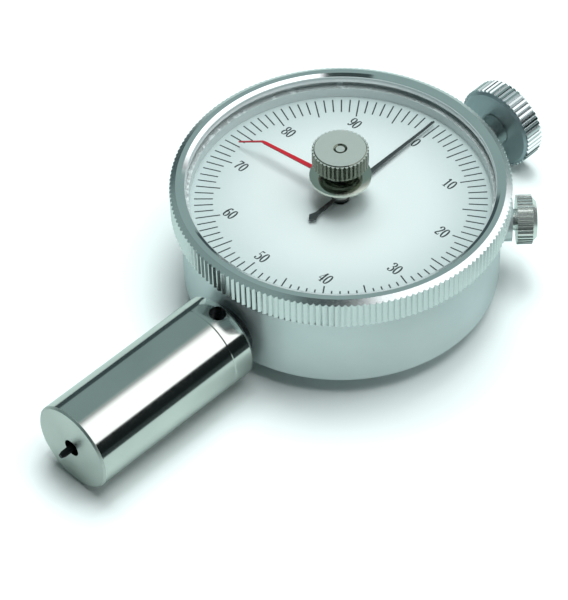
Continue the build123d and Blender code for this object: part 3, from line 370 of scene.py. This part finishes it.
def bezel_aluminium():
    """Bright turned crown, satin coin edge and pale matt lip wall, with painted shade on the edge and the
    wall's top.
    """
    made = Finish("bezel_aluminium_finish")
    grain = made.lines((1500.0, 1500.0, 9000.0))
    radius = made.radius(DIAL_CENTRE, "Z")
    wall = made.below(radius, LIP_RADIUS, LIP_SOFTNESS)
    edge = made.above(radius, CROWN_RADIUS, CROWN_SOFTNESS)
    height = made.split(made.place())["Z"]
    upper = made.between(height, BEZEL_TOP - LIP_PAINTED_SHADE_DEPTH, BEZEL_TOP - LIP_PAINTED_SHADE_DEPTH / 3)
    cloud = made.noise(made.place(), CLOUD)
    plate = made.mottled(cloud, (0.90, 0.92, 0.93), (0.96, 0.97, 0.98))
    # Painted shade: the coin edge is darkened, and the lip wall near its top.
    plate = made.shaded(plate, edge, COIN_EDGE_PAINTED_SHADE)
    plate = made.shaded(plate, made.math("MULTIPLY", upper, wall), LIP_PAINTED_SHADE)
    crown_rough = made.span(grain, 0.05, 0.09)
    edge_rough = made.span(grain, 0.18, 0.26)
    rough = made.mixed(wall, made.mixed(edge, crown_rough, edge_rough), 0.55)
    made.set(Base_Color=plate, Roughness=rough, Metallic=made.mixed(wall, 1.0, 0.35))
    made.bump(grain, 0.06, METAL_DEPTH)
    return made.material


def foot_nickel():
    """Barrel nickel, satin on the flat pressing face and its chamfer, with painted shade in the bore."""
    made = Finish("foot_nickel_finish")
    grain = made.lines((400.0, 16000.0, 400.0), 2.0, 0.5)
    circles = made.lines((5000.0, 1.0, 5000.0), 2.0, 0.5)
    bore = made.math("LESS_THAN", made.radius(STEM_CENTRE, "Y"), BORE_RADIUS)
    face = made.math("LESS_THAN", made.split(made.place())["Y"], FOOT_Y + FACED_DEPTH)
    cloud = made.noise(made.place(), BARREL_CLOUD)
    plate = made.mottled(cloud, (0.66, 0.68, 0.655), (0.72, 0.735, 0.71))
    barrel_rough = made.span(grain, 0.06, 0.11)
    face_rough = made.span(circles, 0.30, 0.38)
    # Painted shade: the bore is darkened to near black.
    made.set(Base_Color=made.shaded(plate, bore, BORE_PAINTED_SHADE), Metallic=1.0)
    made.set(Roughness=made.mixed(face, barrel_rough, face_rough))
    grooves = made.add("ShaderNodeTangent", direction_type="RADIAL", axis="Y")
    made.set(Anisotropic=0.75, Tangent=grooves.outputs["Tangent"])
    made.bump(grain, 0.04, FINE_DEPTH)
    return made.material


def knob_nickel():
    """Nickel with a pale satin flat top, and painted shade that makes its side dark."""
    made = Finish("knob_nickel_finish")
    grain = made.lines((9000.0, 900.0, 900.0))
    top = made.math("GREATER_THAN", made.split(made.coordinates("Normal"))["Z"], RESET_KNOB_TOP)
    # Painted shade: the side is darkened, the flat top keeps a pale colour.
    made.set(Base_Color=made.blend(top, (0.15, 0.17, 0.135), (0.88, 0.90, 0.85)), Metallic=0.85)
    made.set(Roughness=made.mixed(top, 0.12, made.span(grain, 0.36, 0.46)))
    return made.material


def top_knob_steel():
    """Bright on the coin edge, satin on the two flat faces, which painted shade darkens."""
    made = Finish("top_knob_finish")
    grain = made.lines((900.0, 9000.0, 900.0))
    facing = made.math("ABSOLUTE", made.split(made.coordinates("Normal"))["Y"])
    face = made.math("GREATER_THAN", facing, TOP_KNOB_FACES)
    edge_rough = made.span(grain, 0.10, 0.16)
    face_rough = made.span(grain, 0.38, 0.5)
    # Painted shade: the flat faces take a darker colour than the coin edge.
    made.set(Base_Color=made.blend(face, (0.68, 0.73, 0.74), (0.35, 0.42, 0.45)), Metallic=1.0)
    made.set(Roughness=made.mixed(face, edge_rough, face_rough))
    made.bump(grain, 0.06, FINE_DEPTH)
    return made.material


def crystal_glass():
    """Thin clear sheet: it mirrors by Fresnel's law where light enters and is clear elsewhere."""
    made = Finish("crystal_glass")
    clear = made.add("ShaderNodeBsdfTransparent", {"Color": CRYSTAL_CLEAR})
    haze = made.noise(made.place(), CRYSTAL_HAZE, 2.0)
    gloss = made.add("ShaderNodeBsdfAnisotropic", {"Roughness": made.span(haze, 0.0, 0.02)})
    fresnel = made.add("ShaderNodeFresnel", {"IOR": CRYSTAL_IOR})
    entering = made.math("SUBTRACT", 1.0, made.add("ShaderNodeNewGeometry").outputs["Backfacing"])
    dome = made.math("GREATER_THAN", made.split(made.coordinates("Normal"))["Z"], CRYSTAL_DOME)
    front = made.math("MULTIPLY", dome, entering)
    made.layered(made.math("MULTIPLY", fresnel.outputs["Fac"], front), clear, gloss)
    return made.material


def floor_paint():
    """White table for the camera, and a darker one for the metal's reflections."""
    made = Finish("floor_paint")
    far = made.between(made.split(made.place())["X"], FLOOR_NEAR_END, FLOOR_FAR_START)
    seen = made.add("ShaderNodeBsdfDiffuse", {"Color": FLOOR_SEEN})
    mirrored = made.add("ShaderNodeBsdfDiffuse", {"Color": made.blend(far, FLOOR_MIRRORED, FLOOR_FAR)})
    made.layered(made.add("ShaderNodeLightPath").outputs["Is Camera Ray"], mirrored, seen)
    return made.material


INK = lacquer("dial_ink", (0.03, 0.036, 0.04), roughness=0.55, coat=0.0)


def finishes():
    """Each finish with the CAD nodes that take it."""
    satin_aluminium = turned_metal(
        "satin_aluminium_finish",
        dark=(0.78, 0.83, 0.85),
        light=(0.84, 0.88, 0.90),
        smooth=0.36,
        rough=0.46,
        fineness=(700.0, 700.0, 9000.0),
        strength=0.25,
        Metallic=0.75,
        Specular_Tint=(0.7, 0.76, 0.78),
    )
    polished_nickel = turned_metal(
        "polished_nickel_finish",
        dark=(0.66, 0.68, 0.655),
        light=(0.72, 0.735, 0.71),
        smooth=0.07,
        rough=0.12,
        fineness=(500.0, 14000.0, 500.0),
        strength=0.05,
    )
    # Painted shade: a darker copy of the polished nickel for the bush under the knob.
    bush_nickel = turned_metal(
        "bush_nickel_painted_shade",
        dark=(0.50, 0.53, 0.47),
        light=(0.60, 0.63, 0.56),
        smooth=0.10,
        rough=0.16,
        fineness=(1500.0, 1500.0, 9000.0),
        strength=0.05,
    )
    # Painted light: a lighter copy of the polished nickel, with a diffuse share, for the hand's boss.
    boss_nickel = turned_metal(
        "boss_nickel_painted_light",
        dark=(0.80, 0.82, 0.78),
        light=(0.88, 0.90, 0.86),
        smooth=0.10,
        rough=0.18,
        fineness=(3000.0, 3000.0, 9000.0),
        strength=0.04,
        Metallic=0.6,
    )
    clamp_nickel = turned_metal(
        "clamp_nickel_finish",
        dark=(0.78, 0.82, 0.79),
        light=(0.86, 0.90, 0.87),
        smooth=0.18,
        rough=0.26,
        fineness=(3000.0, 3000.0, 3000.0),
        strength=0.06,
        Metallic=0.85,
    )
    ground_steel = steel("ground_steel_finish", (0.55, 0.56, 0.57), smooth=0.2, rough=0.32)
    dark_steel = steel("dark_steel_finish", (0.10, 0.105, 0.11), smooth=0.28, rough=0.4)
    black_steel = steel("blackened_screw_finish", (0.03, 0.032, 0.034), smooth=0.3, rough=0.42)
    brass = steel("movement_brass_finish", (0.72, 0.55, 0.28), smooth=0.22, rough=0.34)
    return (
        (satin_aluminium, ("case_body", "rear_cover", "clamp_block")),
        (bezel_aluminium(), ("bezel_ring",)),
        (foot_nickel(), ("presser_foot",)),
        (polished_nickel, ("stem_collar", "upper_stem", "crystal_bush_nut", "red_hand_hub")),
        (bush_nickel, ("crystal_bush",)),
        (boss_nickel, ("main_hand_boss",)),
        (clamp_nickel, ("clamp_screw",)),
        (knob_nickel(), ("reset_knob", "reset_stem")),
        (top_knob_steel(), ("top_knob",)),
        (ground_steel, (
            "spindle",
            "guide_pin",
            "calibrated_spring",
            "bezel_snap_ring",
            "hairspring",
            "centre_arbor",
            "rack_pinion_arbor",
            "take_up_arbor",
        )),
        (dark_steel, (
            "lower_stem",
            "rear_cover_screws",
            "plate_screws",
            "bridge_screws",
            "friction_washer",
        )),
        (black_steel, ("collar_set_screw", "indenter_pin")),
        (brass, (
            "spring_adjuster",
            "lower_guide_bush",
            "upper_guide_bush",
            "movement_plate",
            "plate_pillars",
            "centre_bridge",
            "bridge_pillars",
            "pivot_bushes",
            "centre_bush",
            "hairspring_stud",
            "hairspring_collet",
            "drive_wheel",
            "take_up_wheel",
        )),
        (lacquer("black_lacquer", (0.03, 0.034, 0.036), roughness=0.32, coat=0.2), ("main_hand",)),
        (lacquer("red_lacquer", (0.56, 0.005, 0.02), roughness=0.36, coat=0.1), ("red_hand",)),
        (matt_paint("dial_paint", DIAL_PAINTED_SHADE_FROM, DIAL_PAINTED_SHADE_TO), ("dial_plate",)),
        (matt_paint("ring_paint", RING_PAINTED_SHADE_FROM, RING_PAINTED_SHADE_TO), ("bezel_carrier", "distance_ring")),
        (crystal_glass(), ("crystal",)),
    )


def dress_nodes():
    """Each CAD node takes its finish. The crystal lets lamps through to the dial."""
    for material, names in finishes():
        for name in names:
            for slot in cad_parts[name].material_slots:
                slot.material = material
    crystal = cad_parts["crystal"]
    crystal.visible_shadow = False
    crystal.visible_diffuse = False


def coil_spring():
    """A copy of the calibrated spring that rides on the case, with the CAD node hidden. The real spring
    shortens towards its adjusting ring as the spindle slides in.
    """
    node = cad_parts["calibrated_spring"]
    coil = link(bpy.data.objects.new("calibrated_spring_coil", node.data.copy()))
    coil.matrix_world = node.matrix_world
    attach(coil, "case")
    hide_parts("calibrated_spring")
    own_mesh(coil)


class Print:
    """Thin closed prisms of ink on the dial, gathered into one mesh."""

    def __init__(self):
        self.points = []
        self.faces = []

    def ribbon(self, left, right, closed=False):
        """A strip between two lines of points in the dial's plane."""
        start = len(self.points)
        count = len(left)
        for z in (DIAL_Z - PRINT_SUNK, DIAL_Z + PRINT_HEIGHT):
            self.points += [(x, y, z) for x, y in left]
            self.points += [(x, y, z) for x, y in right]
        low_left = [start + i for i in range(count)]
        low_right = [start + count + i for i in range(count)]
        high_left = [start + 2 * count + i for i in range(count)]
        high_right = [start + 3 * count + i for i in range(count)]
        steps = count if closed else count - 1
        for i in range(steps):
            j = (i + 1) % count
            self.faces.append((high_left[i], high_right[i], high_right[j], high_left[j]))
            self.faces.append((low_left[i], low_left[j], low_right[j], low_right[i]))
            self.faces.append((low_left[i], high_left[i], high_left[j], low_left[j]))
            self.faces.append((low_right[i], low_right[j], high_right[j], high_right[i]))
        if not closed:
            self.faces.append((low_left[0], low_right[0], high_right[0], high_left[0]))
            self.faces.append((low_left[-1], high_left[-1], high_right[-1], low_right[-1]))

    def piece(self, name):
        made = mesh_object(name, self.points, self.faces, INK)
        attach(made, "bezel")


def dial_direction(division):
    """The direction from the dial's centre to a division, clockwise from +Y."""
    angle = math.pi / 2 - 2 * math.pi * division / TICKS
    return Vector((math.cos(angle), math.sin(angle)))


def dial_ticks():
    marks = Print()
    for i in range(TICKS):
        along = dial_direction(i)
        across = Vector((-along.y, along.x)) * TICK_WIDTH / 2
        inner = TICK_LONG_INNER if i % TICK_LONG_EVERY == 0 else TICK_INNER
        ends = (along * inner, along * TICK_OUTER)
        marks.ribbon([tuple(p + across) for p in ends], [tuple(p - across) for p in ends])
    marks.piece("dial_ticks")


def smooth_line(points):
    """Points along a smooth line through the given ones."""
    padded = [2 * points[0] - points[1], *points, 2 * points[-1] - points[-2]]
    made = []
    for a, b, c, d in zip(padded, padded[1:], padded[2:], padded[3:]):
        for k in range(STROKE_STEPS):
            t = k / STROKE_STEPS
            made.append(
                0.5 * (2 * b + (c - a) * t + (2 * a - 5 * b + 4 * c - d) * t**2
                       + (3 * b - a - 3 * c + d) * t**3)
            )
    made.append(points[-1])
    return made


def oval(centre, wide, tall):
    """Points round an oval by its half width and half height, without the first again at the end."""
    turns = [2 * math.pi * i / OVAL_STEPS for i in range(OVAL_STEPS)]
    return [Vector((centre[0] + wide * math.sin(a), centre[1] + tall * math.cos(a))) for a in turns]


def pen_width(direction):
    """A broad pen: thick down the page, thin across it."""
    return PEN_THIN + (PEN_THICK - PEN_THIN) * abs(direction.y) ** PEN_CONTRAST


# Each figure as pen strokes in a box one unit high: a stroke is a smooth line of points,
# an oval is (centre, half width, half height), and a bar is a straight line with its width.
FIGURES = {
    "0": {"ovals": [((0.225, 0.5), 0.165, 0.465)]},
    "1": {
        "strokes": [
            [(0.25, 0.96), (0.25, 0.5), (0.25, 0.03)],
            [(0.10, 0.82), (0.18, 0.87), (0.25, 0.95)],
        ],
        "bars": [((0.09, 0.025), (0.41, 0.025), 0.05)],
    },
    "2": {
        "strokes": [
            [(0.10, 0.68), (0.08, 0.82), (0.21, 0.965), (0.35, 0.87),
             (0.36, 0.70), (0.25, 0.45), (0.11, 0.22), (0.07, 0.07)],
        ],
        "bars": [((0.06, 0.06), (0.35, 0.06), 0.11), ((0.38, 0.22), (0.34, 0.05), 0.05)],
    },
    "3": {
        "strokes": [
            [(0.10, 0.74), (0.08, 0.87), (0.20, 0.965), (0.34, 0.87), (0.34, 0.66), (0.19, 0.53)],
            [(0.19, 0.53), (0.35, 0.46), (0.38, 0.24), (0.30, 0.07),
             (0.17, 0.03), (0.07, 0.12), (0.09, 0.24)],
        ],
    },
    "4": {
        "strokes": [[(0.30, 0.97), (0.30, 0.5), (0.30, 0.03)]],
        "bars": [
            ((0.29, 0.95), (0.03, 0.30), 0.05),
            ((0.02, 0.28), (0.43, 0.28), 0.07),
            ((0.18, 0.025), (0.42, 0.025), 0.05),
        ],
    },
    "5": {
        "strokes": [
            [(0.09, 0.54), (0.20, 0.61), (0.34, 0.52), (0.38, 0.30),
             (0.32, 0.10), (0.18, 0.03), (0.07, 0.11), (0.09, 0.22)],
        ],
        "bars": [((0.10, 0.91), (0.35, 0.93), 0.11), ((0.115, 0.92), (0.09, 0.54), 0.05)],
    },
    "6": {
        "strokes": [[(0.34, 0.84), (0.27, 0.955), (0.14, 0.84), (0.07, 0.56), (0.06, 0.40)]],
        "ovals": [((0.225, 0.31), 0.16, 0.285)],
    },
    "7": {
        "strokes": [[(0.39, 0.92), (0.28, 0.62), (0.20, 0.32), (0.19, 0.03)]],
        "bars": [((0.07, 0.91), (0.39, 0.91), 0.11), ((0.06, 0.74), (0.075, 0.95), 0.05)],
    },
    "8": {"ovals": [((0.225, 0.745), 0.135, 0.215), ((0.225, 0.265), 0.165, 0.24)]},
    "9": {
        "strokes": [[(0.11, 0.16), (0.18, 0.045), (0.31, 0.16), (0.38, 0.44), (0.39, 0.60)]],
        "ovals": [((0.225, 0.69), 0.16, 0.285)],
    },
}


def draw_figure(marks, figure, corner):
    """One figure with its lower left corner at corner."""

    def placed(point):
        return (corner[0] + point.x * NUMERAL_HEIGHT, corner[1] + point.y * NUMERAL_HEIGHT)

    def ribbon(line, widths, closed):
        left, right = [], []
        count = len(line)
        for i, point in enumerate(line):
            before = line[i - 1] if closed or i else line[0]
            after = line[(i + 1) % count] if closed or i < count - 1 else line[-1]
            direction = (after - before).normalized()
            across = Vector((-direction.y, direction.x)) * widths(direction) / 2
            left.append(placed(point + across))
            right.append(placed(point - across))
        marks.ribbon(left, right, closed)

    for points in figure.get("strokes", []):
        ribbon(smooth_line([Vector(p) for p in points]), pen_width, False)
    for centre, wide, tall in figure.get("ovals", []):
        ribbon(oval(centre, wide, tall), pen_width, True)
    for start, end, width in figure.get("bars", []):
        ribbon([Vector(start), Vector(end)], lambda direction, w=width: w, False)


def dial_numerals():
    marks = Print()
    for division in range(0, TICKS, NUMERAL_STEP):
        text = str(division)
        centre = dial_direction(division) * NUMERAL_CIRCLE
        x = centre.x - NUMERAL_ADVANCE * len(text) / 2
        y = centre.y - NUMERAL_HEIGHT / 2
        for k, character in enumerate(text):
            draw_figure(marks, FIGURES[character], (x + k * NUMERAL_ADVANCE, y))
    marks.piece("dial_numerals")


def make_floor():
    low, high = -FLOOR_HALF, FLOOR_HALF
    corners = [(low, low, 0), (high, low, 0), (high, high, 0), (low, high, 0)]
    floor = mesh_object("floor", corners, [(0, 1, 2, 3)], floor_paint())


def soft_lamp(name, place, side, radiance):
    """A square of light at place, turned to the origin and its height near +Y, unseen itself."""
    data = bpy.data.lights.new(name, "AREA")
    data.shape = "SQUARE"
    data.size = side
    data.energy = radiance * math.pi * side**2
    data.color = LAMP_COLOUR
    lamp = link(bpy.data.objects.new(name, data))
    back = place.normalized()
    right = Vector((0.0, 1.0, 0.0)).cross(back).normalized()
    lamp.matrix_world = turned_to(place, right, back.cross(right), back)
    lamp.visible_camera = False
    lamp.visible_glossy = False


class Studio(Shading):
    """The world round the object, as bands of grey by direction."""

    def __init__(self, colour):
        self.world = bpy.data.worlds.new("studio")
        super().__init__(self.world)
        direction = self.split(self.coordinates("Generated"))
        self.along = direction["Y"]
        self.angle = self.math("ARCTAN2", direction["Z"], direction["X"])
        self.colour = colour

    def paint(self, colour, factor):
        """Lay a colour over what is there, by a factor."""
        self.colour = self.blend(factor, self.colour, colour)

    def finish(self):
        self.feed(self.tree.nodes["Background"].inputs["Color"], self.colour)
        bpy.context.scene.world = self.world


def make_studio():
    """The studio that metal and glass mirror. Paint gets a faint fill, the camera a white wall."""
    studio = Studio(SKY_LEFT)
    angle = studio.angle
    studio.paint(WALL_LEFT, studio.above(angle, WALL_LEFT_EDGE, WALL_LEFT_SOFTNESS))
    studio.paint(SKY_RIGHT, studio.below(angle, SKY_RIGHT_EDGE, SKY_RIGHT_SOFTNESS))
    low = studio.below(angle, SOFT_BOX_EDGE, SOFT_BOX_SOFTNESS)
    behind = studio.above(studio.along, SOFT_BOX_FRONT, SOFT_BOX_FRONT_SOFTNESS)
    studio.paint(SOFT_BOX, studio.math("MULTIPLY", low, behind))
    studio.paint(WALL_RIGHT, studio.below(angle, WALL_RIGHT_EDGE, WALL_RIGHT_SOFTNESS))
    path = studio.add("ShaderNodeLightPath").outputs
    studio.paint(DIFFUSE_FILL, path["Is Diffuse Ray"])
    studio.paint(BACKDROP, path["Is Camera Ray"])
    studio.finish()


def make_camera():
    data = bpy.data.cameras.new("camera")
    data.lens = CAMERA_LENS
    data.sensor_width = CAMERA_SENSOR
    data.clip_start = CAMERA_NEAR
    data.clip_end = CAMERA_FAR
    camera = link(bpy.data.objects.new("camera", data))
    place = CAMERA_PLACE + Vector((0, 0, DIAL_Z))
    camera.matrix_world = turned_to(place, CAMERA_RIGHT, CAMERA_UP, CAMERA_BACK)
    bpy.context.scene.camera = camera
    bpy.context.scene.view_settings.view_transform = "Standard"


make_camera()
for name, place, side, radiance in LAMPS:
    soft_lamp(name, Vector(place), side, radiance)
make_studio()
make_floor()
dress_nodes()
coil_spring()
dial_ticks()
dial_numerals()
